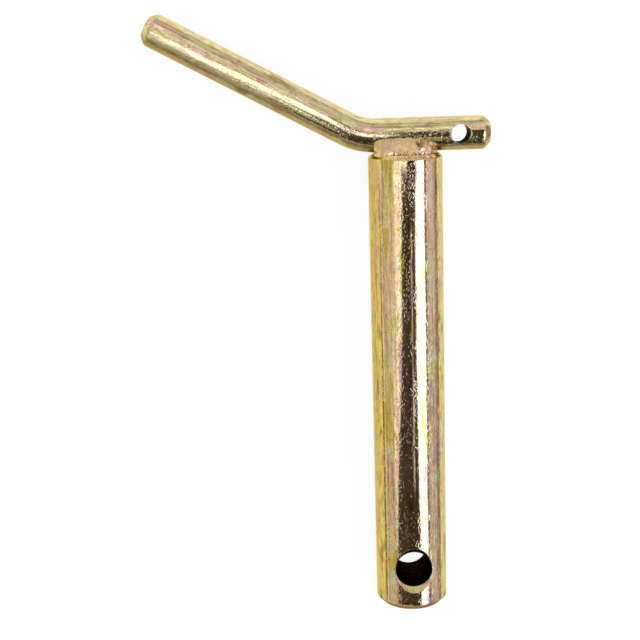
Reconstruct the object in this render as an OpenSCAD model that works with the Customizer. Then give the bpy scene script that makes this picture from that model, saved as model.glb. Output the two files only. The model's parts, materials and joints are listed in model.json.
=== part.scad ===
// Top link pin: a chamfered steel shank with a countersunk linch-pin hole, and a bent
// round-bar handle that is welded across the shank's upper end.
// The pin lies on its side, on the shank and on the tip of the handle's long arm.
// The shank runs along -Y from the origin, where its full diameter begins. +Z is up.

/* [Shank] */
// Diameter of the shank, the size that the lift link turns on
shank_d = 25.4; // [19:0.1:32]
// Length of the shank from its upper face to its tip
shank_len = 163; // [120:1:240]
// Chamfer at the shank's upper face, under the handle
upper_chamfer = 1.3; // [0.5:0.1:2.5]
// Chamfer at the shank's tip
tip_chamfer = 2.2; // [0.5:0.1:3.2]

/* [Linch-pin hole] */
// Diameter of the cross hole near the shank's tip
linch_hole_d = 13; // [8:0.5:14]
// Distance from the middle of the cross hole to the shank's tip
linch_hole_to_tip = 15.5; // [12:0.5:40]
// Depth of the cross hole's countersinks, measured on the shank's crest
linch_sink = 2; // [0.5:0.1:2.5]

/* [Handle] */
// Diameter of the handle's round bar
bar_d = 11.5; // [8:0.5:14]
// Reach of the short arm, from the shank's axis to the bar's end
short_reach = 29; // [24:1:45]
// Length of the long arm, from the corner of the bend to the bar's end
arm_len = 80.4; // [40:0.2:120]
// Angle that the long arm is bent up by
bend_angle = 28.5; // [10:0.5:60]
// Radius of the bend, along the bar's centre line
bend_r = 20; // [12:1:32]
// Distance from the shank's axis to the corner of the bend
bend_offset = 15.2; // [13:0.1:25]
// Chamfer at both ends of the bar
bar_chamfer = 2.3; // [0.5:0.1:3.5]

/* [Handle hole] */
// Diameter of the small hole through the short arm
tie_hole_d = 6.5; // [3:0.5:7]
// Distance from the middle of the small hole to the end of the short arm
tie_hole_to_end = 10.5; // [7:0.5:14]
// Depth that the edge of the small hole is broken by
tie_sink = 0.4; // [0.2:0.1:0.6]

/* [Weld] */
// Gap between the shank's upper face and the bar, which the weld bridges
root_gap = 0.4; // [0.2:0.1:1]
// Width of the strip under the middle of the bar that the weld doesn't reach
root_land = 0.6; // [0.2:0.1:2]
// Number of drops in the bead along each side of the bar
drop_count = 9; // [7:1:12]
// Radius of the largest drops, in the middle of a bead
drop_r = 4.8; // [4:0.1:4.8]
// Radius of the smallest drops, at the ends of a bead
end_drop_r = 1.8; // [1.2:0.1:2.4]
// Distance that the drops spill over the edge of the shank's upper face
bead_spill = 0.6; // [0.1:0.1:0.8]

/* [Hidden] */
$fn = 96;

shank_r = shank_d / 2;
face_r = shank_r - upper_chamfer;
wall_len = shank_len - upper_chamfer - tip_chamfer;
linch_hole_z = linch_hole_to_tip - shank_len + upper_chamfer;

bar_r = bar_d / 2;
bar_z = upper_chamfer + root_gap + bar_r;
// Length of straight bar that the bend takes up on each side of its corner
bend_tangent = bend_r * tan(bend_angle / 2);
// Where the short arm's straight bar begins
short_start = bend_tangent - bend_offset;

// The handle's tip comes down to the ground that the shank lies on
tip_side = bend_offset + (arm_len - bar_chamfer) * cos(bend_angle);
rest_roll = asin(shank_r / norm([tip_side, bar_r])) - atan2(bar_r, tip_side);

// A bead's drops sit on a line beside the bar, level with the shank's upper face
bead_y = 0.9 * bar_r;
bead_half = sqrt(pow(face_r + bead_spill - end_drop_r, 2) - pow(bead_y, 2));
// A drop is as large as the face's edge and the strip under the bar leave room for
function drop_room(x) =
    min(drop_r, bead_y - root_land / 2, face_r + bead_spill - norm([x, bead_y]));

// Far enough past a surface for a cut to leave nothing standing
past = 1;
// The bend is this much slimmer than the straight bar, and runs this many degrees into it
bend_slack = 0.01;
bend_overlap = 1;

steel_gold = [0.80, 0.69, 0.38];
weld_gold = [0.62, 0.54, 0.33];

// The pieces are drawn upright, with the handle above the shank, and laid down together
module laid_down() {
    rotate([0, -rest_roll, 0]) rotate([-90, 0, 0]) children();
}

// Cutter for a hole along Y through a round bar of radius across_r, countersunk at 45 degrees
module cross_drill(hole_r, across_r, sink) {
    seat = across_r - sink;
    end = across_r + past;
    flare_r = hole_r + sink + past;
    rotate([90, 0, 0])
        rotate_extrude()
            polygon([[0, -end], [flare_r, -end], [hole_r, -seat],
                     [hole_r, seat], [flare_r, end], [0, end]]);
}

module shank_form() {
    tip_z = -wall_len - tip_chamfer;
    rotate_extrude()
        polygon([[0, upper_chamfer], [face_r, upper_chamfer], [shank_r, 0],
                 [shank_r, -wall_len], [shank_r - tip_chamfer, tip_z], [0, tip_z]]);
}

// Straight bar from the origin along +Z, chamfered at its far end
module straight_bar(length) {
    rotate_extrude()
        polygon([[0, 0], [bar_r, 0], [bar_r, length - bar_chamfer],
                 [bar_r - bar_chamfer, length], [0, length]]);
}

// Stretch of bar that turns from the short arm up into the long one, about the origin
module bar_bend() {
    rotate([-90, 0, 0])
        rotate([0, 0, 90 - bend_overlap])
            rotate_extrude(angle = bend_angle + 2 * bend_overlap)
                translate([bend_r, 0]) circle(bar_r - bend_slack);
}

module bar_form() {
    translate([short_start, 0, bar_z])
        rotate([0, 90, 0]) straight_bar(short_reach - short_start);
    translate([short_start, 0, bar_z + bend_r]) bar_bend();
    translate([-bend_offset, 0, bar_z])
        rotate([0, bend_angle - 90, 0])
            translate([0, 0, bend_tangent]) straight_bar(arm_len - bend_tangent);
}

// Weld bead along X, turned about its own line: a string of drops that run into each other
module bead_string() {
    rotate([0, 90, 0])
        rotate_extrude()
            intersection() {
                for (i = [0 : drop_count - 1]) {
                    x = bead_half * (2 * i / (drop_count - 1) - 1);
                    translate([0, x]) circle(drop_room(x));
                }
                translate([0, -shank_d]) square([shank_d, 2 * shank_d]);
            }
}

module pin_shank() {
    color(steel_gold) laid_down() difference() {
        shank_form();
        translate([0, 0, linch_hole_z]) cross_drill(linch_hole_d / 2, shank_r, linch_sink);
    }
}

module handle_bar() {
    color(steel_gold) laid_down() difference() {
        bar_form();
        translate([short_reach - tie_hole_to_end, 0, bar_z])
            cross_drill(tie_hole_d / 2, bar_r, tie_sink);
    }
}

// One bead on each side of the bar, seated on the shank's face and against the bar
module weld_bead() {
    color(weld_gold) laid_down() difference() {
        for (side = [-1, 1])
            translate([0, side * bead_y, upper_chamfer]) bead_string();
        translate([-shank_d, -shank_d, upper_chamfer - shank_d])
            cube([2 * shank_d, 2 * shank_d, shank_d]);
        translate([-shank_d, 0, bar_z])
            rotate([0, 90, 0]) cylinder(r = bar_r, h = 2 * shank_d);
    }
}

pin_shank();
handle_bar();
weld_bead();
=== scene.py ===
"""Top link pin: a plated steel shank and a bent round handle welded across its upper end.

The pin lies on a pale floor and the camera looks down on it. Shapes are worked out standing up, with the
handle above the shank (X towards the short arm, -Y towards the front, Z up the shank), and then laid down
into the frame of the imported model. Lengths are metres, and millimetres in the weld's own functions.
"""
import json
import math
import random

import bmesh
import bpy
from mathutils import Matrix, Vector, noise


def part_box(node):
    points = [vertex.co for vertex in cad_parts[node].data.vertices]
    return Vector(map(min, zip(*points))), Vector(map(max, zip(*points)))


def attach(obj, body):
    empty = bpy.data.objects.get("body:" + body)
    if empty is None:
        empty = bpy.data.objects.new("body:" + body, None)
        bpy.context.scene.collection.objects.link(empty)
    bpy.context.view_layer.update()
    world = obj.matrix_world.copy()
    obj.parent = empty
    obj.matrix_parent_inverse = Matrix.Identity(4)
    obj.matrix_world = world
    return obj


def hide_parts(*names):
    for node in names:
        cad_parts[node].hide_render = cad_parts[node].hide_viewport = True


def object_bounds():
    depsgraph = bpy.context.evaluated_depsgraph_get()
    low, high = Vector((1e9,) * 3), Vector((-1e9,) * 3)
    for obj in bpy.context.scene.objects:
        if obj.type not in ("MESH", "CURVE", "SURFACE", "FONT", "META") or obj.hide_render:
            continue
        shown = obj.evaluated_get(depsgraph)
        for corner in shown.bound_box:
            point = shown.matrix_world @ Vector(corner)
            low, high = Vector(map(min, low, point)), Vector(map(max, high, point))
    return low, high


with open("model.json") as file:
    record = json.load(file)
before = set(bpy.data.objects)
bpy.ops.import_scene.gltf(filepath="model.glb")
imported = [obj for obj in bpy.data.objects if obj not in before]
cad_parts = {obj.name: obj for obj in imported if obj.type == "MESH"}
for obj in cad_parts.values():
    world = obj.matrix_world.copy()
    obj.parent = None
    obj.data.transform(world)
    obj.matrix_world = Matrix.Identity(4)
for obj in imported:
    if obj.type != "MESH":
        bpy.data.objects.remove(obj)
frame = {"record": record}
cad_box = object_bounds()

MM = 0.001

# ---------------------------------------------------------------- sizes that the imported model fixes

mounts = {m["name"]: m for m in frame["record"]["mounts"]}


def mount_size(name, what):
    """A mount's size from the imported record."""
    return mounts[name]["dims"][what] * MM


shank_r = mount_size("shank", "r_mm")
wall_len = mount_size("shank", "length_mm")
face_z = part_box("pin_shank")[1].y
tip_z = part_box("pin_shank")[0].y
# The shank's full diameter begins at the origin, so its face is as high as its chamfer
upper_chamfer = face_z
tip_chamfer = -wall_len - tip_z

linch_r = mount_size("linch_pin_hole", "r_mm")
linch_seat = mount_size("linch_pin_hole", "length_mm") / 2
linch_z = mounts["linch_pin_hole"]["pos_m"][1]

tie_r = mount_size("handle_hole", "r_mm")
tie_seat = mount_size("handle_hole", "length_mm") / 2
bar_z = mounts["handle_hole"]["pos_m"][1]
bar_r = bar_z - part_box("handle_bar")[0].y

# The holes run along Y while the pin stands, so their axis in the record gives the roll of the pin at rest
rest_roll = math.asin(-mounts["linch_pin_hole"]["axis"][0])
lay_down = Matrix.Rotation(-rest_roll, 4, "Y") @ Matrix.Rotation(math.radians(-90), 4, "X")
tie_x = Vector(mounts["handle_hole"]["pos_m"]).dot((math.cos(rest_roll), 0, math.sin(rest_roll)))

# ---------------------------------------------------------------- sizes of the handle's shape

short_reach = 29 * MM
arm_len = 80.4 * MM
bend_angle = math.radians(28.5)
bend_r = 20 * MM
bend_offset = 15.2 * MM
bar_chamfer = 2.3 * MM
# Length of straight bar that the bend takes up on each side of its corner
bend_tangent = bend_r * math.tan(bend_angle / 2)

# ---------------------------------------------------------------- meshes


def make_object(name, verts, faces, materials, face_materials=None, coordinates=None):
    """A smooth mesh object of points that stand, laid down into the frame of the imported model.

    coordinates are the points' places in bar space, which the finishes are laid out in.
    """
    mesh = bpy.data.meshes.new(name)
    mesh.from_pydata([lay_down @ Vector(v) for v in verts], [], faces)
    for material in materials:
        mesh.materials.append(material)
    if face_materials:
        mesh.polygons.foreach_set("material_index", face_materials)
    if coordinates:
        places = mesh.attributes.new("bar_space", "FLOAT_VECTOR", "POINT")
        places.data.foreach_set("vector", [c for point in coordinates for c in point])
    turn_faces_outwards(mesh)
    mesh.shade_smooth()
    mesh.validate()
    obj = bpy.data.objects.new(name, mesh)
    bpy.context.scene.collection.objects.link(obj)
    return obj


def turn_faces_outwards(mesh):
    """Gives every closed shell of the mesh normals that point out of it."""
    shells = bmesh.new()
    shells.from_mesh(mesh)
    bmesh.ops.recalc_face_normals(shells, faces=shells.faces)
    shells.to_mesh(mesh)
    shells.free()


# Steps in each rounded corner of an outline
CORNER_STEPS = 4
# How far from a corner an outline has a point that keeps its straight part straight, in softs
GUARD = 1.8


def softened(corners, softs):
    """The outline through corners, (along, radius) pairs, with its inner corners rounded.

    Each inner corner is rounded off over its own one of softs.
    """
    points = [Vector(corners[0])]
    for before, corner, after, soft in zip(corners, corners[1:], corners[2:], softs):
        before, corner, after = Vector(before), Vector(corner), Vector(after)
        come = (corner - before).normalized()
        go = (after - corner).normalized()
        points.append(corner - GUARD * soft * come)
        points += rounded(corner - soft * come, corner, corner + soft * go, CORNER_STEPS)
        points.append(corner + GUARD * soft * go)
    points.append(Vector(corners[-1]))
    return points


def rounded(start, corner, end, steps):
    """Points of the curve from start to end that a corner pulls towards itself."""
    points = []
    for i in range(steps + 1):
        t = i / steps
        points.append(start.lerp(corner, t).lerp(corner.lerp(end, t), t))
    return points


def spaced(points, pitch):
    """The same outline with no step longer than pitch."""
    made = [points[0]]
    for a, b in zip(points, points[1:]):
        count = max(1, math.ceil((b - a).length / pitch))
        made += [a.lerp(b, i / count) for i in range(1, count + 1)]
    return made


# Where the rings of a hole lie: about the line where its cone and the bar meet, in softs outside it; down
# the cone, as shares of the way from there to the bore's lip; and down the bore, as shares of its height
RIM_STEPS = (2.2, 1.3, 0.8, 0.4, 0, -0.4, -0.8, -1.3)
CONE_STEPS = (0.34, 0.67)
LIP_STEPS = 4
BORE_STEPS = (0.97, 0.85, 0.65, 0.4, 0.2, 0)
# Size of the bore's rounded lip, and the least distance of the cone's rim from the bore, in softs
LIP = 0.8
RIM_CLEAR = 3
# Points at the inner end of each spoke of a hole that the bore's finish, painted dark as shade, starts from
BORE_POINTS = len(BORE_STEPS) + 2


def hole_rings(turn, across_r, hole):
    """A countersunk hole's rings at one bearing, from the outside to its middle.

    Each is (distance from the hole's axis, height above the bar's axis).
    """
    hole_r, seat, soft = hole["r"], hole["seat"], hole["soft"]
    flat = math.cos(turn) ** 2

    def outer(rho):
        """The height of the bar's surface."""
        return math.sqrt(max(across_r ** 2 - rho ** 2 * flat, 0))

    def skin(rho):
        """The lower of the bar's surface and the countersink's cone, blended where they meet."""
        cone = seat + rho - hole_r
        mix = min(max(0.5 + 0.5 * (cone - outer(rho)) / soft, 0), 1)
        return cone + (outer(rho) - cone) * mix - soft * mix * (1 - mix)

    # The cone and the bar meet where seat + rho - hole_r is the bar's height
    low = seat - hole_r
    a, b, c = 1 + flat, 2 * low, low ** 2 - across_r ** 2
    meet = (-b + math.sqrt(b * b - 4 * a * c)) / (2 * a)
    meet = max(meet, hole_r + RIM_CLEAR * soft)
    lip = soft * LIP
    rhos = [meet + soft * k for k in RIM_STEPS]
    inner = rhos[-1]
    rhos += [inner + (hole_r + lip - inner) * k for k in CONE_STEPS]
    rings = [(rho, skin(rho)) for rho in rhos]
    start = Vector((hole_r + lip, skin(hole_r + lip)))
    corner = Vector((hole_r, skin(hole_r)))
    end = corner - Vector((0, lip))
    rings += [tuple(point) for point in rounded(start, corner, end, LIP_STEPS)]
    rings += [(hole_r, end.y * k) for k in BORE_STEPS]
    return rings


# Slack for telling which rows of an outline lie beside a hole
ROW_SLACK = 1e-7
# How far past a hole's even rows the outline's own rows begin, in halves of their stretch
ROW_GAP = 1.02
# Radius of an end face's inner ring, as a share of the bar's
END_RING = 0.25


class DrilledBar:
    """The mesh of a round bar with a countersunk hole drilled through it from the front.

    outline is the bar's (along, radius) points, and around is the number of columns round it.
    centre_line(along) gives the centre and the direction to the bar's side. The hole's rings fill a patch
    of the grid at the front and another at the back, and meet in the middle of the bar.
    """

    def __init__(self, centre_line, outline, around, hole):
        self.centre_line = centre_line
        self.outline = outline
        self.around = around
        self.hole = hole
        self.verts, self.coordinates = [], []
        self.faces, self.face_materials = [], []
        self.grid = {}
        rows = [i for i, p in enumerate(outline) if abs(p[0] - hole["at"]) < hole["half"] + ROW_SLACK]
        self.first, self.last = rows[0], rows[-1]
        self.add_wall()
        self.add_ends()
        self.add_hole()

    def add_point(self, along, front, side):
        """Adds a point by its place on the straightened bar, and returns its number."""
        centre, sideways = self.centre_line(along)
        self.verts.append(centre + sideways * side - Vector((0, front, 0)))
        self.coordinates.append((front, side, along))
        return len(self.verts) - 1

    def add_face(self, corners, material=0):
        """Adds a face between points, with the number of its material."""
        self.faces.append(corners)
        self.face_materials.append(material)

    def by_hole(self, column):
        """Whether a column lies within the patches at the front and the back."""
        from_front = min(column, self.around - column)
        from_back = abs(column - self.around / 2)
        return min(from_front, from_back) < self.hole["columns"]

    def add_wall(self):
        """The bar's round wall, with a patch left open for each mouth of the hole."""
        for i, (along, radius) in enumerate(self.outline):
            for j in range(self.around):
                if not (self.first < i < self.last and self.by_hole(j)):
                    turn = math.tau * j / self.around
                    point = self.add_point(along, radius * math.cos(turn), radius * math.sin(turn))
                    self.grid[i, j] = point
        for i in range(len(self.outline) - 1):
            for j in range(self.around):
                if not (self.first <= i < self.last and self.by_hole(j + 0.5)):
                    k = (j + 1) % self.around
                    near = (self.grid[i, j], self.grid[i, k])
                    far = (self.grid[i + 1, k], self.grid[i + 1, j])
                    self.add_face(near + far)

    def add_ends(self):
        """The middles of both end faces."""
        for i, flip in ((0, True), (len(self.outline) - 1, False)):
            middle = self.add_point(self.outline[i][0], 0, 0)
            for j in range(self.around):
                pair = (self.grid[i, j], self.grid[i, (j + 1) % self.around])
                self.add_face((middle, *(pair[::-1] if flip else pair)))

    def patch_edge(self):
        """The patch's edge, as (row, column) pairs once round the hole."""
        half = self.hole["columns"]
        columns = range(-half, half)
        edge = [(self.first, j) for j in columns]
        edge += [(i, half) for i in range(self.first, self.last)]
        edge += [(self.last, -j) for j in columns]
        edge += [(i, -half) for i in range(self.last, self.first, -1)]
        return edge

    def spoke(self, row, column):
        """Points from just inside the patch's edge to the middle of the hole, (side, along, front)."""
        hole = self.hole
        radius = self.outline[self.first][1]
        turn = math.tau * column / self.around
        side, along = radius * math.sin(turn), self.outline[row][0] - hole["at"]
        bearing = math.atan2(along, side)
        rings = hole_rings(bearing, radius, hole)
        rim = Vector((math.cos(bearing), math.sin(bearing))) * rings[0][0]
        points = []
        for k in range(1, hole["steps"]):
            p = Vector((side, along)).lerp(rim, k / hole["steps"])
            points.append((p.x, p.y, math.sqrt(radius ** 2 - p.x ** 2)))
        for rho, height in rings:
            points.append((rho * math.cos(bearing), rho * math.sin(bearing), height))
        return points

    def add_hole(self):
        """Fills both patches with rings that go down the countersinks and the bore."""
        at = self.hole["at"]
        loops = {1: [], -1: []}
        for row, column in self.patch_edge():
            *points, (side, along, _) = self.spoke(row, column)
            for face, j in ((1, column), (-1, self.around // 2 - column)):
                line = [self.grid[row, j % self.around]]
                line += [self.add_point(at + v, face * w, u) for u, v, w in points]
                loops[face].append(line)
            shared = self.add_point(at + along, 0, side)
            for loop in loops.values():
                loop[-1].append(shared)
        for face, loop in loops.items():
            for a, b in zip(loop, loop[1:] + loop[:1]):
                for k in range(len(a) - 1):
                    quad = (a[k], b[k], b[k + 1], a[k + 1])
                    in_bore = k >= len(a) - BORE_POINTS
                    self.add_face(quad if face == 1 else quad[::-1], int(in_bore))

    def make(self, name, materials):
        """The bar's object. The first of materials is its plating, and the second the bore's."""
        return make_object(name, self.verts, self.faces, materials, self.face_materials, self.coordinates)


def shank_line(along):
    """The shank's centre line from its tip up."""
    return Vector((0, 0, tip_z + along)), Vector((-1, 0, 0))


def handle_line(along):
    """The handle's centre line from the short arm's end: straight, round the bend and up the long arm."""
    straight = short_reach + bend_offset - bend_tangent
    if along <= straight:
        return Vector((short_reach - along, 0, bar_z)), Vector((0, 0, 1))
    turned = min((along - straight) / bend_r, bend_angle)
    past = along - straight - turned * bend_r
    heading = Vector((-math.cos(turned), 0, math.sin(turned)))
    sideways = Vector((math.sin(turned), 0, math.cos(turned)))
    centre = Vector((short_reach - straight, 0, bar_z + bend_r)) - sideways * bend_r
    return centre + heading * past, sideways


def bar_outline(length, radius, chamfers, softs, pitch):
    """A bar's outline from its first end to its last, with the chamfer and the soft of each."""
    inner = END_RING * radius
    corners = [(0, inner), (0, radius - chamfers[0]), (chamfers[0], radius)]
    corners += [(length - chamfers[1], radius), (length, radius - chamfers[1]), (length, inner)]
    return spaced(softened(corners, (softs[0], softs[0], softs[1], softs[1])), pitch)


def with_even_rows(outline, hole, radius):
    """The outline with its points beside a hole put in even rows."""
    at, half, rows = hole["at"], hole["half"], hole["rows"]
    kept = [p for p in outline if abs(p[0] - at) > half * ROW_GAP]
    even = [Vector((at + half * (2 * k / rows - 1), radius)) for k in range(rows + 1)]
    before = [p for p in kept if p[0] < at]
    after = [p for p in kept if p[0] > at]
    return before + even + after


# A hole is where it lies along the bar (at), its radius and half the length of its bore (r, seat), and how
# wide its edges are rounded (soft). The patch of the grid that it sits in reaches half along the bar each
# way, in rows, and columns round the bar each way, with steps from its edge to the hole's rim.
SHANK_COLUMNS = 128
HANDLE_COLUMNS = 96


def make_shank(materials):
    """The shank, with the linch-pin hole across it near its tip."""
    hole = {"at": linch_z - tip_z, "r": linch_r, "seat": linch_seat, "soft": 0.16 * MM,
            "half": 10.4 * MM, "rows": 32, "columns": 18, "steps": 8}
    chamfers = (tip_chamfer, upper_chamfer)
    softs = (0.35 * MM, 0.35 * MM)
    outline = bar_outline(face_z - tip_z, shank_r, chamfers, softs, pitch=0.9 * MM)
    outline = with_even_rows(outline, hole, shank_r)
    return DrilledBar(shank_line, outline, SHANK_COLUMNS, hole).make("shank", materials)


def make_handle(materials):
    """The handle, with the small hole across its short arm."""
    hole = {"at": short_reach - tie_x, "r": tie_r, "seat": tie_seat, "soft": 0.12 * MM,
            "half": 5.2 * MM, "rows": 24, "columns": 14, "steps": 6}
    length = short_reach + bend_offset + arm_len - 2 * bend_tangent + bend_r * bend_angle
    chamfers = (bar_chamfer, bar_chamfer)
    softs = (0.5 * MM, 0.9 * MM)
    outline = bar_outline(length, bar_r, chamfers, softs, pitch=0.6 * MM)
    outline = with_even_rows(outline, hole, bar_r)
    return DrilledBar(handle_line, outline, HANDLE_COLUMNS, hole).make("handle", materials)


# ---------------------------------------------------------------- weld

# The bead's outline, (distance along the bar, value) in millimetres from the middle of the shank's upper
# face: how far its toe reaches out over the face, and how high up the bar its upper edge comes
TOE_REACH = ((-11, 4.6), (-10, 6.7), (-9, 7.9), (-8, 8.5), (-7, 8.7), (-6, 8.5), (-4, 8.1), (0, 8.0),
             (3, 8.2), (6, 7.9), (8, 7.3), (9.5, 5.8), (11, 3.9))
UPPER_EDGE = ((-11, 5.3), (-8, 5.4), (-3, 5.4), (2, 5.5), (5, 5.3), (7, 4.8), (9, 4.0), (11, 3.1))
BEAD_ENDS = (-10.9, 10.7)
BEAD_MIDDLE = sum(BEAD_ENDS) / 2
BEAD_HALF = (BEAD_ENDS[1] - BEAD_ENDS[0]) / 2
# The bead's root, (reach, height), where it closes in at both ends
BEAD_ROOT = Vector((3.0, 0.9))
# Two points of each section that lie inside the bar and the shank
BEAD_INSIDE = (Vector((3.6, 4.5)), Vector((3.0, -0.6)))
# How square the bead's ends are: the powers that its first and its second half close in with
END_POWERS = (10, 4)
# How the bead's edges wander, in and out at the toe and up and down at the upper edge: how far, in how many
# bends to the millimetre, and the level of the noise that it comes from
TOE_WANDER, EDGE_WANDER = (0.25, 0.5, 0), (0.3, 0.6, 9)
# How far the bead's edges sink into the shank and into the bar
TOE_SINK, EDGE_SINK = 0.12, 0.1
# How its skin is pulled out, (reach, height), from the toe and from the upper edge
TOE_PULL, EDGE_PULL = (0.25, 1.7), (0.95, -1.3)

# Where the smooth half of the bead gives way to the lumpy one, and how sharply
LUMPS_FROM, LUMPS_RISE = 1.5, 1.5
# The noises of the bead's skin: height, further height where it is lumpy, and bumps to the millimetre
BEAD_NOISES = ((0.2, 0, 0.45), (0.08, 0.22, 1.1), (0.03, 0, 3.5))
RIPPLE_PITCH = 0.95
# The ripples bow along the bead away from this height, by this much
RIPPLE_MIDDLE, RIPPLE_BOW = 2.8, 0.09
# The ripples' height, with what comes on top about LUMPS_FROM and how far that reaches
RIPPLE_HEIGHT, RIPPLE_EXTRA, RIPPLE_SPREAD = 0.008, 0.03, 2.2
# How tightly a dent's dish and its rim are drawn in
DISH_TIGHTNESS, RIM_TIGHTNESS = 1.5, 3.2
# The crater, a smaller dent and a lump: (place along the bar, height), radius, depth, height of the rim
DENTS = (((4.6, 3.7), 1.7, 1.0, 0.42), ((7.2, 4.3), 0.8, 0.6, 0.16), ((8.0, 2.6), 1.3, -0.6, 0))
# Steps along a bead, and up its skin
BEAD_ROWS = 210
BEAD_STEPS = 34
# How far along its curve a section looks ahead and behind for its direction
AHEAD = 0.02
# The side of the bar that each bead lies on, -1 for the front, and what its own noise starts from
BEADS = ((-1, 2.5), (1, 17.5))

SPATTER_SEED = 11
SPATTER_COUNT = 16
# Spatter on the shank: ranges of its bearing from the front in degrees, depth below the face and radius
SPATTER_SPREAD = ((-36, -13), (3.5, 24), (0.22, 0.5))
# Spatter on the handle: place along the bar, height above the shank's face, radius
BAR_SPATTER = ((2.7, 7.4, 0.55), (8.0, 6.2, 0.5), (1.1, 6.7, 0.35), (5.6, 7.2, 0.3))
DROPLET_SIDES = 14
# The levels of a droplet's rings, from where it stuck to near its top
DROPLET_LEVELS = (0.0, 0.25, 0.5, 0.75, 0.92)
# A droplet's rise, the height of its top and how far it sinks in, in its own radii
DROPLET_RISE, DROPLET_TOP, DROPLET_SINK = 0.62, 0.5, 0.12
# A direction that no droplet faces, from which its rings are turned
DROPLET_TURN = Vector((0.3, 0.2, 1))


def on_line(pairs, x):
    """The value at x of the line through (x, value) pairs."""
    for (x0, a), (x1, b) in zip(pairs, pairs[1:]):
        if x <= x1:
            return a + (b - a) * max(x - x0, 0) / (x1 - x0)
    return pairs[-1][1]


def bezier(points, t):
    """The point at t of the curve that points control."""
    while len(points) > 1:
        points = [p.lerp(q, t) for p, q in zip(points, points[1:])]
    return points[0]


def wander(x, seed, reach, pace, level):
    """How far an edge of the bead strays from its line at x."""
    return reach * noise.noise(Vector((x * pace, seed, level)))


def dent(x, h, at, radius, depth, rim):
    """A round dish at a place on the bead's skin, with a raised rim."""
    r = math.hypot(x - at[0], h - at[1]) / radius
    dish = -depth * math.exp(-(r * DISH_TIGHTNESS) ** 2)
    return dish + rim * math.exp(-((r - 1) * RIM_TIGHTNESS) ** 2)


def bead_relief(x, h, seed):
    """How far the bead's skin stands proud of its smooth form: lumps, ripples and dents."""
    place = Vector((x, h, seed))
    lumpy = 1 / (1 + math.exp(-(x - LUMPS_FROM) * LUMPS_RISE))
    lift = 0
    for height, extra, pace in BEAD_NOISES:
        lift += (height + extra * lumpy) * noise.noise(place * pace)
    bow = RIPPLE_BOW * (h - RIPPLE_MIDDLE) ** 2
    strength = RIPPLE_HEIGHT + RIPPLE_EXTRA * math.exp(-((x - LUMPS_FROM) / RIPPLE_SPREAD) ** 2)
    lift += strength * math.sin(math.tau * (x + bow) / RIPPLE_PITCH)
    for shape in DENTS:
        lift += dent(x, h, *shape)
    return lift


def bead_section(x, seed):
    """One section across the bead, (reach, height) points from its toe up its skin and back inside."""
    t = min(abs(x - BEAD_MIDDLE) / BEAD_HALF, 1)
    power = END_POWERS[0] if x < BEAD_MIDDLE else END_POWERS[1]
    size = (1 - t ** power) ** (1 / power)
    face = (shank_r - upper_chamfer) / MM
    radius = bar_r / MM
    bar_height = (bar_z - face_z) / MM
    reach = on_line(TOE_REACH, x) + wander(x, seed, *TOE_WANDER)
    over = max(math.hypot(x, reach) - face, 0)
    toe = Vector((reach, -over - TOE_SINK))
    height = on_line(UPPER_EDGE, x) + wander(x, seed, *EDGE_WANDER)
    top = Vector((math.sqrt(radius ** 2 - (height - bar_height) ** 2) - EDGE_SINK, height))
    curve = [toe, toe + Vector((TOE_PULL[0], TOE_PULL[1] + over)), top + Vector(EDGE_PULL), top]
    points = []
    for k in range(BEAD_STEPS + 1):
        v = k / BEAD_STEPS
        point = bezier(curve, v)
        ahead, behind = bezier(curve, min(v + AHEAD, 1)), bezier(curve, max(v - AHEAD, 0))
        heading = (ahead - behind).normalized()
        lift = bead_relief(x, point.y, seed) * math.sqrt(math.sin(math.pi * v))
        points.append(point + Vector((heading.y, -heading.x)) * lift)
    points += BEAD_INSIDE
    return [BEAD_ROOT + (p - BEAD_ROOT) * size for p in points]


def join_rings(faces, first, second, count):
    """Adds the faces between two rings of so many points, which start at first and second."""
    for k in range(count):
        m = (k + 1) % count
        faces.append((first + k, first + m, second + m, second + k))


def add_bead(side, seed, verts, faces):
    """The bead along one side of the bar."""
    base = len(verts)
    rows = BEAD_ROWS - 1
    for i in range(1, BEAD_ROWS):
        x = BEAD_MIDDLE - BEAD_HALF * math.cos(math.pi * i / BEAD_ROWS)
        points = bead_section(x, seed)
        verts += [(x * -side, side * p.x, face_z / MM + p.y) for p in points]
    ring = len(points)
    for i in range(rows - 1):
        join_rings(faces, base + i * ring, base + (i + 1) * ring, ring)
    for end, row in ((BEAD_ENDS[0], 0), (BEAD_ENDS[1], rows - 1)):
        verts.append((end * -side, side * BEAD_ROOT.x, face_z / MM + BEAD_ROOT.y))
        first = base + row * ring
        for k in range(ring):
            cap = (first + k, first + (k + 1) % ring, len(verts) - 1)
            faces.append(cap[::-1] if row == 0 else cap)


def add_droplet(centre, outward, radius, verts, faces):
    """A drop of spatter, flattened where it stuck."""
    across = outward.cross(DROPLET_TURN).normalized()
    beside = outward.cross(across)
    base = len(verts)
    count = DROPLET_SIDES
    for level in DROPLET_LEVELS:
        ring = math.cos(level * math.pi / 2)
        rise = DROPLET_RISE * math.sin(level * math.pi / 2) - DROPLET_SINK
        for k in range(count):
            turn = math.tau * k / count
            reach = across * math.cos(turn) + beside * math.sin(turn)
            verts.append(tuple(centre + reach * radius * ring + outward * radius * rise))
    last = base + (len(DROPLET_LEVELS) - 1) * count
    for first in range(base, last, count):
        join_rings(faces, first, first + count, count)
    verts.append(tuple(centre + outward * radius * DROPLET_TOP))
    for k in range(count):
        faces.append((last + k, last + (k + 1) % count, len(verts) - 1))
    faces.append(tuple(base + k for k in reversed(range(count))))


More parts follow.
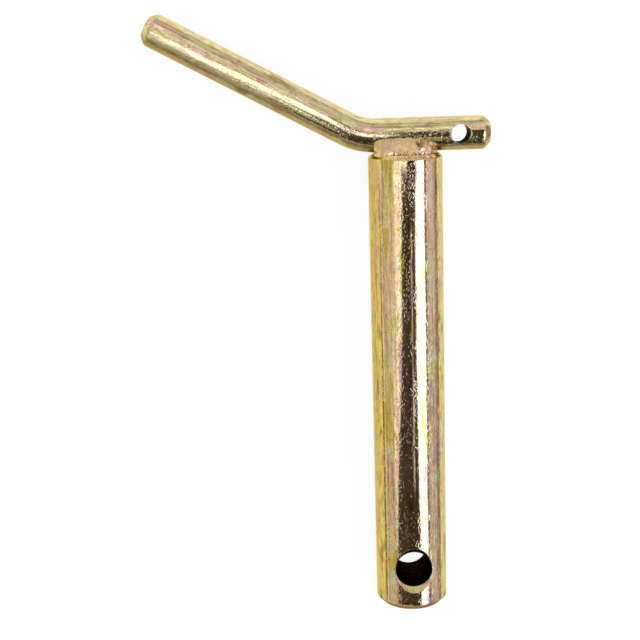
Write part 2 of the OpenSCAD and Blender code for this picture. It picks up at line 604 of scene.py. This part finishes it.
def make_weld(materials):
    """A bead on each side of the bar, with spatter on the shank and the handle."""
    verts, faces = [], []
    for side, seed in BEADS:
        add_bead(side, seed, verts, faces)
    draw = random.Random(SPATTER_SEED)
    bearings, depths, radii = SPATTER_SPREAD
    for _ in range(SPATTER_COUNT):
        bearing = math.radians(draw.uniform(*bearings))
        outward = Vector((math.sin(bearing), -math.cos(bearing), 0))
        depth = draw.uniform(*depths)
        centre = outward * shank_r / MM + Vector((0, 0, face_z / MM - depth))
        add_droplet(centre, outward, draw.uniform(*radii), verts, faces)
    for x, height, radius in BAR_SPATTER:
        up = math.asin((height + face_z / MM - bar_z / MM) / (bar_r / MM))
        outward = Vector((0, -math.cos(up), math.sin(up)))
        centre = Vector((x, 0, bar_z / MM)) + outward * bar_r / MM
        add_droplet(centre, outward, radius, verts, faces)
    # The weld's own bar space: to the front, along the handle's bar and up
    coordinates = [(-v[1] * MM, v[0] * MM, v[2] * MM) for v in verts]
    return make_object("weld", [Vector(v) * MM for v in verts], faces, materials, None, coordinates)


# ---------------------------------------------------------------- materials


class Nodes:
    """A node tree, with short calls for the nodes that the finishes and the world share."""

    def __init__(self, tree):
        self.tree = tree

    def put(self, socket, value):
        """Links a node's output to a socket, or sets the socket to a plain value."""
        if isinstance(value, bpy.types.NodeSocket):
            self.tree.links.new(value, socket)
        else:
            socket.default_value = value

    def node(self, kind, inputs, **settings):
        """A new node of this kind, with its sockets and settings."""
        made = self.tree.nodes.new(kind)
        for key, value in settings.items():
            setattr(made, key, value)
        for key, value in inputs.items():
            self.put(made.inputs[key], value)
        return made

    def math(self, operation, *values, clamp=False):
        """The result of an operation on plain numbers."""
        inputs = dict(enumerate(values))
        return self.node("ShaderNodeMath", inputs, operation=operation, use_clamp=clamp).outputs[0]

    def vector_math(self, operation, *values):
        """The outputs of an operation on vectors."""
        return self.node("ShaderNodeVectorMath", dict(enumerate(values)), operation=operation).outputs

    def ramp(self, value, stops):
        """The colour at value of a ramp through stops, (place, colour) pairs."""
        made = self.node("ShaderNodeValToRGB", {"Fac": value})
        ramp = made.color_ramp
        while len(ramp.elements) < len(stops):
            ramp.elements.new(0.5)
        for element, (place, colour) in zip(ramp.elements, stops):
            element.position = place
            element.color = (*colour, 1)
        return made.outputs["Color"]

    def mixed(self, factor, first, second, blend="MIX"):
        """first with second laid over it by factor."""
        made = self.node("ShaderNodeMix", {"Factor": factor}, data_type="RGBA", blend_type=blend)
        self.put(made.inputs[6], first if isinstance(first, bpy.types.NodeSocket) else (*first, 1))
        self.put(made.inputs[7], second if isinstance(second, bpy.types.NodeSocket) else (*second, 1))
        return made.outputs[2]


class Finish(Nodes):
    """A material, built round its shader."""

    def __init__(self, name, metallic=1.0, roughness=1.0, colour=None):
        self.material = bpy.data.materials.new(name)
        self.material.use_nodes = True
        super().__init__(self.material.node_tree)
        self.shader = self.tree.nodes["Principled BSDF"]
        self.give("Metallic", metallic)
        self.give("Roughness", roughness)
        if colour:
            self.give("Base Color", (*colour, 1))

    def give(self, name, value):
        """Gives the shader's socket of this name a value or a node's output."""
        self.put(self.shader.inputs[name], value)

    def bar_space(self):
        """Where a point lies on its bar: to the front, to the side and along, as if straightened."""
        return self.node("ShaderNodeAttribute", {}, attribute_name="bar_space").outputs["Vector"]

    def scaled(self, where, sizes, shift):
        """where, in units of the three sizes, moved by shift."""
        grown = self.vector_math("MULTIPLY", where, [1 / s for s in sizes])[0]
        return self.vector_math("ADD", grown, shift)[0]

    def noise(self, where, shift, sizes, detail, roughness=0.5, distortion=0.0):
        """Noise from 0 to 1, whose features have these sizes in millimetres."""
        place = self.scaled(where, [s * MM for s in sizes], shift)
        inputs = {"Vector": place, "Scale": 1.0, "Detail": detail, "Roughness": roughness,
                  "Distortion": distortion}
        return self.node("ShaderNodeTexNoise", inputs).outputs["Fac"]

    def off_middle(self, noise_value, gain, rest):
        """rest plus gain times how far a noise is from its middle."""
        return self.math("MULTIPLY_ADD", self.math("SUBTRACT", noise_value, 0.5), gain, rest)

    def spread(self, value, low, high):
        """value between low and high, as 0 to 1."""
        inputs = {"Value": value, "From Min": low, "From Max": high}
        return self.node("ShaderNodeMapRange", inputs, interpolation_type="SMOOTHSTEP").outputs["Result"]

    def bump(self, height):
        """Tilts the surface as height, in millimetres, does."""
        made = self.node("ShaderNodeBump", {"Height": height, "Distance": MM, "Strength": 1.0})
        self.give("Normal", made.outputs["Normal"])


GOLD = (0.74, 0.52, 0.12)
YELLOW = (0.86, 0.70, 0.24)
TAN = (0.80, 0.57, 0.28)
AMBER = (0.84, 0.58, 0.24)
PINK = (0.94, 0.58, 0.44)
MAUVE = (0.62, 0.36, 0.28)
ROSE = (0.80, 0.44, 0.30)
SAND = (0.86, 0.68, 0.42)
LIME = (0.70, 0.72, 0.34)
OLIVE = (0.54, 0.46, 0.18)
OCHRE = (0.60, 0.43, 0.11)
UMBER = (0.36, 0.23, 0.07)
BROWN = (0.26, 0.14, 0.04)
SUN = (0.80, 0.60, 0.15)
RUSSET = (0.62, 0.37, 0.20)
MOSS = (0.46, 0.45, 0.22)
BRASS = (0.66, 0.57, 0.25)

# The film's colour by its thickness, on the front and on the sides of each piece. The sides' colours are
# darker and more golden than the front's: partly the film's own colour, partly painted shade where the bar
# turns away to either side
SHANK_FILM = ((0.0, GOLD), (0.14, YELLOW), (0.25, LIME), (0.35, SAND), (0.46, TAN), (0.55, PINK),
              (0.64, AMBER), (0.74, ROSE), (0.86, YELLOW), (1.0, MAUVE))
SHANK_SIDE_FILM_AND_SHADE = ((0.0, UMBER), (0.16, OCHRE), (0.34, SUN), (0.54, GOLD), (0.66, RUSSET), (0.78, SUN),
                   (0.92, MOSS), (1.0, UMBER))
HANDLE_FILM = ((0.0, PINK), (0.14, MAUVE), (0.26, TAN), (0.38, LIME), (0.50, SAND), (0.60, YELLOW),
               (0.70, LIME), (0.80, OLIVE), (0.90, ROSE), (1.0, SAND))
HANDLE_SIDE_FILM_AND_SHADE = ((0.0, UMBER), (0.2, OLIVE), (0.4, BRASS), (0.6, OCHRE), (0.75, RUSSET), (0.88, BRASS),
                    (1.0, MOSS))
WELD_FILM = ((0.0, (0.78, 0.56, 0.24)), (0.3, (0.86, 0.60, 0.28)), (0.5, (0.92, 0.62, 0.38)),
             (0.7, (0.74, 0.48, 0.24)), (1.0, (0.88, 0.58, 0.40)))
# The bore's near-black wall: painted shade inside the hole
BORE_PAINTED_SHADE = ((0.35, (0.018, 0.010, 0.004)), (0.65, (0.06, 0.035, 0.012)))
# Painted light and shade: what the film's colour is multiplied by, from the far end of a bar's side
# direction to the near one. The shank is painted lighter and paler towards the short arm's side and darker
# at its edge on the long arm's side; the handle is painted darker on the side towards the shank and lighter
# and paler on the side away from it
SHANK_PAINTED_SHADING = ((0.0, (0.86, 0.98, 1.5)), (0.12, (1.06, 1.14, 1.6)), (0.3, (1.0, 1.0, 1.0)),
               (0.9, (1.0, 1.0, 0.95)), (1.0, (0.78, 0.80, 0.6)))
HANDLE_PAINTED_SHADING = ((0.0, (0.66, 0.62, 0.54)), (0.2, (0.74, 0.70, 0.62)), (0.42, (1.0, 1.0, 1.0)),
                (0.72, (1.0, 1.0, 1.0)), (1.0, (1.4, 1.5, 2.1)))
# Painted shade about the weld, as brown patches: shadow where the bar crosses the shank's edge at the
# bead's ends, and the dark of the crater, a dent and round the spatter; (side, along, radius) in
# millimetres of each piece's bar space
HANDLE_SHADE_PATCHES = ((-4.9, 41.6, 2.6), (-4.9, 17.0, 2.4), (0.6, 23.6, 1.3), (0.2, 21.4, 1.1))
WELD_SHADE_PATCHES = ((4.6, 5.0, 1.9), (7.2, 5.9, 1.3), (10.2, 2.6, 1.1), (-10.6, 2.2, 0.9))
# Tint of the plating's gloss where it is seen edge on, and of the bores' dark gloss, which paints shade
# inside the holes
GOLD_EDGE = (1.0, 0.9, 0.6, 1)
DARK_EDGE = (0.16, 0.10, 0.04, 1)

# The plating's noises: the features' size in millimetres to the front, to the side and along the bar, and
# how they are made up
PATCHES = {"sizes": (4.0, 4.0, 17), "detail": 2, "distortion": 0.5}
STREAKS = {"sizes": (1.2, 1.2, 26), "detail": 2}
FILM_GRAIN = {"sizes": (0.9, 0.9, 1.6), "detail": 1.5, "roughness": 0.6}
SIDE_BANDS = {"sizes": (5.0, 5.0, 15), "detail": 2, "distortion": 0.4}
MOTTLE = {"sizes": (1.0, 1.0, 3.0), "detail": 2, "roughness": 0.7}
HAIRLINES = {"sizes": (0.55, 0.55, 38), "detail": 2}
SPECKS = {"sizes": (0.9, 0.9, 1.1), "detail": 1}
WAVES = {"sizes": (3, 3, 14), "detail": 1}
SKIN_GRAIN = {"sizes": (0.9, 0.9, 1.2), "detail": 1.5, "roughness": 0.6}
PITTING = {"sizes": (0.85, 0.85, 1.2), "detail": 1.5, "roughness": 0.6}
CROWDS = {"sizes": (2.4, 2.4, 9), "detail": 1}
BORE_MOTTLE = {"sizes": (1.5, 1.5, 1.5), "detail": 3}
# What these noises are moved by, so that they don't follow the others
SIDE_BANDS_SHIFT, MOTTLE_SHIFT, CROWDS_SHIFT = 6.1, 4.7, 1.3

# How strongly each noise changes the film's thickness, on the front and on the sides
PATCH_GAIN, STREAK_GAIN, GRAIN_GAIN = 3.5, 1.6, 0.22
SIDE_BAND_GAIN, SIDE_STREAK_GAIN, SIDE_GRAIN_GAIN = 2.8, 0.6, 0.2
# How far the streaks reach in from the sides, as a share of where those are full, and how patches thin them
SIDE_REACH, SIDE_THINNING = 0.2, 0.8
# The mottle's gain, and the brightness that it changes
MOTTLE_GAIN, MOTTLE_LEVEL = 0.95, 0.97
# Where the noise of the dark marks begins to show and shows fully, and how far their brown covers the film
HAIRLINE_EDGE, SPECK_EDGE, MARK_COVER = (0.59, 0.70), (0.66, 0.76), 0.6
# The same for a patch of painted shade, in its own radii
SHADE_PATCH_EDGE, SHADE_PATCH_COVER = (1.0, 0.35), 0.8
# Heights of the skin's waves and grain in millimetres
WAVE_HEIGHT, GRAIN_HEIGHT = 0.022, 0.008
# Where the pits begin in their noise, how much sooner they do in a crowd, and how soft their edges are
PIT_START, CROWD_GAIN, PIT_EDGE = 0.555, 0.5, 0.12
# How much the roughness changes from place to place
HAZE_GAIN = 0.12


def moved(shift, further):
    """shift with the same further move in each direction."""
    return [s + further for s in shift]


def film_colour(finish, where, side, shift, film, sides, shade):
    """The chromate film's colour, which goes by its thickness: patches, streaks and a fine grain, with
    darker sides that are partly painted shade, and painted light and shade across the bar from shade.
    """
    patches = finish.noise(where, shift, **PATCHES)
    streaks = finish.noise(where, shift, **STREAKS)
    grain = finish.noise(where, shift, **FILM_GRAIN)
    thickness = finish.off_middle(patches, PATCH_GAIN, 0.5)
    thickness = finish.off_middle(streaks, STREAK_GAIN, thickness)
    thickness = finish.off_middle(grain, GRAIN_GAIN, thickness)
    colour = finish.ramp(thickness, film)
    # The sides' darker colours: partly the film's own, partly painted shade where the bar turns away
    if sides:
        side_film_and_shade, start, full = sides
        bands = finish.noise(where, moved(shift, SIDE_BANDS_SHIFT), **SIDE_BANDS)
        thickness = finish.off_middle(bands, SIDE_BAND_GAIN, 0.5)
        thickness = finish.off_middle(grain, SIDE_GRAIN_GAIN, thickness)
        thickness = finish.off_middle(streaks, SIDE_STREAK_GAIN, thickness)
        reach = finish.math("MULTIPLY_ADD", streaks, SIDE_REACH * full, finish.math("ABSOLUTE", side))
        turned = finish.spread(reach, start, full)
        amount = finish.off_middle(patches, -SIDE_THINNING, turned)
        amount = finish.math("MULTIPLY", amount, turned, clamp=True)
        colour = finish.mixed(amount, colour, finish.ramp(thickness, side_film_and_shade))
    # Painted light and shade: the colour multiplied by a ramp across the bar
    if shade:
        stops, radius = shade
        across = finish.math("MULTIPLY_ADD", side, 0.5 / radius, 0.5)
        colour = finish.mixed(1.0, colour, finish.ramp(across, stops), "MULTIPLY")
    return colour


def stained(finish, where, shift, colour, strength):
    """colour with a mottle, dark hairlines along the bar and a few dark specks."""
    mottle = finish.noise(where, moved(shift, MOTTLE_SHIFT), **MOTTLE)
    mottle = finish.off_middle(mottle, MOTTLE_GAIN * strength, MOTTLE_LEVEL)
    colour = finish.mixed(1.0, colour, mottle, "MULTIPLY")
    for kind, edge in ((HAIRLINES, HAIRLINE_EDGE), (SPECKS, SPECK_EDGE)):
        marks = finish.spread(finish.noise(where, shift, **kind), *edge)
        colour = finish.mixed(finish.math("MULTIPLY", marks, MARK_COVER * strength), colour, BROWN)
    return colour


def shade_patched(finish, where, colour, shade_patches):
    """colour with a brown patch of painted shade at each place in shade_patches."""
    for side, along, radius in shade_patches:
        sizes = (1, radius * MM, radius * MM)
        away = finish.scaled(where, sizes, (0, -side / radius, -along / radius))
        flat = finish.vector_math("MULTIPLY", away, (0, 1, 1))[0]
        far = finish.vector_math("LENGTH", flat)["Value"]
        cover = finish.math("MULTIPLY", finish.spread(far, *SHADE_PATCH_EDGE), SHADE_PATCH_COVER)
        colour = finish.mixed(cover, colour, BROWN)
    return colour


def skin_height(finish, where, shift, pits):
    """The surface's height in millimetres: long waves, a fine grain and crowds of shallow pits."""
    waves = finish.noise(where, shift, **WAVES)
    grain = finish.noise(where, shift, **SKIN_GRAIN)
    height = finish.math("MULTIPLY", waves, WAVE_HEIGHT)
    height = finish.math("MULTIPLY_ADD", grain, GRAIN_HEIGHT, height)
    pitting = finish.noise(where, shift, **PITTING)
    crowds = finish.noise(where, moved(shift, CROWDS_SHIFT), **CROWDS)
    start = finish.off_middle(crowds, -CROWD_GAIN, PIT_START)
    dents = finish.spread(pitting, start, finish.math("ADD", start, PIT_EDGE))
    return finish.math("MULTIPLY_ADD", dents, -pits, height)


def plating(name, shift, film, sides=None, shade=None, roughness=0.12, pits=0.035, stains=1.0, shade_patches=()):
    """Bright zinc under a yellow chromate film.

    shift moves the piece's noise, so that no two pieces have the same. film is the film's colours by
    thickness. sides is (colours, start, full): its colours where the bar turns away to either side, darker
    as partly painted shade, and how far from its middle they start and take over. shade is (stops, radius):
    painted light and shade, a ramp across the bar that the colour is multiplied by. pits is the depth of
    the surface's pits in millimetres, stains is how strong its dark marks are, and shade_patches are brown
    patches of painted shade about the weld.
    """
    finish = Finish(name)
    where = finish.bar_space()
    parts = finish.node("ShaderNodeSeparateXYZ", {0: where}).outputs
    colour = film_colour(finish, where, parts["Y"], shift, film, sides, shade)
    colour = stained(finish, where, shift, colour, stains)
    finish.give("Base Color", shade_patched(finish, where, colour, shade_patches))
    haze = finish.noise(where, shift, **SKIN_GRAIN)
    finish.give("Roughness", finish.off_middle(haze, HAZE_GAIN, roughness))
    finish.give("Specular Tint", GOLD_EDGE)
    finish.bump(skin_height(finish, where, shift, pits))
    return finish.material


def bore_finish(name):
    """The wall of a bore, painted near black as the shade inside the hole."""
    finish = Finish(name, roughness=0.4)
    finish.give("Specular Tint", DARK_EDGE)
    bore_shade_noise = finish.noise(finish.bar_space(), (0, 0, 0), **BORE_MOTTLE)
    finish.give("Base Color", finish.ramp(bore_shade_noise, BORE_PAINTED_SHADE))
    return finish.material


# The sides' darker film, partly painted shade
shank_sides = (SHANK_SIDE_FILM_AND_SHADE, 0.70 * shank_r, 0.92 * shank_r)
handle_sides = (HANDLE_SIDE_FILM_AND_SHADE, 0.5 * bar_r, 0.8 * bar_r)
shank_plate = plating("shank_plating", (3.1, 0.7, 5.2), SHANK_FILM, shank_sides, (SHANK_PAINTED_SHADING, shank_r),
                      pits=0.032)
handle_plate = plating("handle_plating", (7.3, 2.9, 1.4), HANDLE_FILM, handle_sides, (HANDLE_PAINTED_SHADING, bar_r),
                       roughness=0.15, shade_patches=HANDLE_SHADE_PATCHES)
weld_plate = plating("weld_plating", (1.7, 8.2, 4.4), WELD_FILM, roughness=0.28, pits=0.006, stains=0.35,
                     shade_patches=WELD_SHADE_PATCHES)
bore = bore_finish("bore")

shank = make_shank([shank_plate, bore])
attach(shank, "root")
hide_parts("pin_shank")
handle = make_handle([handle_plate, bore])
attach(handle, "root")
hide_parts("handle_bar")
weld = make_weld([weld_plate])
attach(weld, "root")
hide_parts("weld_bead")

# ---------------------------------------------------------------- floor and studio

floor_z = cad_box[0].z
FLOOR_REACH = 3
FLOOR_COLOUR = (0.86, 0.86, 0.86)
# Share of the floor's white that doesn't fade with the light
FLOOR_GLOW = 0.9
LAMP_HEIGHT = 0.6
# Height of the cards that lie on the floor
ON_FLOOR = floor_z + 0.5 * MM
DARK = (0.03, 0.018, 0.007)

# Each lamp: centre, size, turn in degrees, radiance, colour
LAMPS = {
    "right_box": ((0.43, -0.50), (0.46, 1.2), 0, 3.2, (0.46, 0.62, 1.0)),
    "left_box": ((-0.46, -0.17), (0.32, 0.38), 0, 0.9, (0.6, 0.68, 1.0)),
    "left_core": ((-0.33, -0.17), (0.16, 0.38), 0, 2.4, (0.5, 0.72, 1.0)),
    "low_left_box": ((-0.76, -0.45), (0.34, 0.24), 0, 0.7, (0.6, 0.7, 1.0)),
    "arm_box": ((-0.127, -0.023), (0.60, 0.147), 31.5, 2.2, (0.62, 0.72, 1.0)),
    "back_strip": ((-0.1, 0.37), (1.0, 0.2), 0, 0.15, (1, 1, 1)),
    "short_strip": ((0.035, 0.48), (0.15, 0.32), 0, 0.6, (0.9, 0.95, 1.0)),
}

# Each card that the gloss sees: height, colour, outline in millimetres
CARDS = {
    "near_flag": (0.15, DARK, (
        (-62, -18), (-9, -18), (-9, 62), (60, 58), (60, -18), (41, -60), (45, -90), (51, -145), (55, -175),
        (59, -200), (72, -270), (-210, -270), (-170, -200), (-146, -175), (-121, -150), (-93, -128),
        (-77, -95), (-68, -50))),
    "far_flag": (0.59, DARK, (
        (-12, -65), (190, -65), (190, -500), (220, -620), (300, -920), (480, -1850), (550, -2200),
        (-12, -2200))),
    "side_flag": (0.59, DARK, ((700, 100), (850, 100), (850, -1200), (700, -1200))),
    "floor_flag": (ON_FLOOR, (0.22, 0.17, 0.10), ((88, 600), (2900, 600), (2900, -1300), (88, -1300))),
    "left_floor_flag": (ON_FLOOR, (0.14, 0.09, 0.04), (
        (-125, -10), (-145, -10), (-190, -120), (-230, -330), (-82, -330), (-95, -120))),
    "tip_floor_flag": (ON_FLOOR, (0.26, 0.18, 0.09), ((-34, -169), (34, -169), (90, -330), (-90, -330))),
    "thin_card": (0.147, (0.9, 0.86, 0.8), ((9, -45), (16, -45), (16, -165), (9, -165))),
}


def flat_object(name, outline, height, material):
    """A level sheet of the studio."""
    mesh = bpy.data.meshes.new(name)
    mesh.from_pydata([(x, y, height) for x, y in outline], [], [range(len(outline))])
    mesh.materials.append(material)
    obj = bpy.data.objects.new(name, mesh)
    bpy.context.scene.collection.objects.link(obj)
    return obj


def background_rays(finish):
    """1 for a ray that shows the background: from the camera, off gloss or through glass."""
    path = finish.node("ShaderNodeLightPath", {})
    rays = [path.outputs["Is " + kind + " Ray"] for kind in ("Camera", "Glossy", "Transmission")]
    return finish.math("MAXIMUM", finish.math("MAXIMUM", rays[0], rays[1]), rays[2])


def floor_finish():
    """Pale paper. Most of its white doesn't fade with the light, so that the shadow stays soft."""
    finish = Finish("pale_floor", metallic=0.0, colour=FLOOR_COLOUR)
    glow = finish.node("ShaderNodeEmission", {"Color": (1, 1, 1, 1), "Strength": 1.0})
    factor = finish.math("MULTIPLY", background_rays(finish), FLOOR_GLOW)
    inputs = {0: factor, 1: finish.shader.outputs[0], 2: glow.outputs[0]}
    mix = finish.node("ShaderNodeMixShader", inputs)
    finish.put(finish.tree.nodes["Material Output"].inputs["Surface"], mix.outputs[0])
    return finish.material


def softbox(name, centre, size, turn, radiance, colour):
    """A lamp that hangs level over the pin and shows in its plating as an even rectangle."""
    light = bpy.data.lights.new(name, "AREA")
    light.shape = "RECTANGLE"
    light.size, light.size_y = size
    light.color = colour
    light.energy = math.pi * radiance * size[0] * size[1]
    lamp = bpy.data.objects.new(name, light)
    lamp.location = (*centre, LAMP_HEIGHT)
    lamp.rotation_euler = (0, 0, math.radians(turn))
    bpy.context.scene.collection.objects.link(lamp)


def flag(name, height, colour, outline):
    """A card that only the gloss of the metal sees, and that casts no shadow."""
    corners = [(x * MM, y * MM) for x, y in outline]
    card = flat_object(name, corners, height, Finish(name, metallic=0.0, colour=colour).material)
    for rays in ("camera", "diffuse", "transmission", "volume_scatter", "shadow"):
        setattr(card, "visible_" + rays, False)


# The sky that gloss sees: its greys by height, and how they rise along Y and flatten out again
SKY_GREYS = ((0.0, 0.5), (0.04, 0.52), (0.10, 0.66), (0.5, 0.72), (1.0, 0.7))
SKY_RISE, SKY_BOW = 0.15, -0.2


def build_world():
    """White for every ray but those off gloss, which see a grey sky."""
    world = bpy.data.worlds.new("studio")
    bpy.context.scene.world = world
    world.use_nodes = True
    nodes = Nodes(world.node_tree)
    where = nodes.node("ShaderNodeTexCoord", {}).outputs["Generated"]
    parts = nodes.node("ShaderNodeSeparateXYZ", {0: where}).outputs
    grey = nodes.ramp(parts["Z"], [(place, (level, level, level)) for place, level in SKY_GREYS])
    slope = nodes.math("MULTIPLY_ADD", parts["Y"], SKY_BOW, SKY_RISE)
    shade = nodes.math("MULTIPLY_ADD", parts["Y"], slope, 1.0)
    sky = nodes.mixed(1.0, grey, shade, "MULTIPLY")
    gloss = nodes.node("ShaderNodeLightPath", {}).outputs["Is Glossy Ray"]
    nodes.put(nodes.tree.nodes["Background"].inputs["Color"], nodes.mixed(gloss, (1, 1, 1), sky))


floor_outline = [(x * FLOOR_REACH, y * FLOOR_REACH) for x, y in ((-1, -1), (1, -1), (1, 1), (-1, 1))]
flat_object("floor", floor_outline, floor_z, floor_finish())
for name, lamp in LAMPS.items():
    softbox(name, *lamp)
for name, card in CARDS.items():
    flag(name, *card)
build_world()

# ---------------------------------------------------------------- camera

CAMERA_LENS = 73.06
CAMERA_TURN = (-12.62, -6.09, -1.73)
CAMERA_DISTANCE = 451.8 * MM
# Where the camera looks, from the middle of the pin's box
AIM = (-1.8 * MM, 0.45 * MM)


def place_camera():
    """A camera that looks down on the pin, a little from the handle's side."""
    data = bpy.data.cameras.new("camera")
    data.lens = CAMERA_LENS
    camera = bpy.data.objects.new("camera", data)
    bpy.context.scene.collection.objects.link(camera)
    camera.rotation_euler = [math.radians(a) for a in CAMERA_TURN]
    middle = (cad_box[0] + cad_box[1]) / 2
    aim = Vector((middle.x + AIM[0], middle.y + AIM[1], 0))
    camera.location = aim + camera.rotation_euler.to_matrix() @ Vector((0, 0, CAMERA_DISTANCE))
    bpy.context.scene.camera = camera


place_camera()
bpy.context.scene.view_settings.view_transform = "Standard"
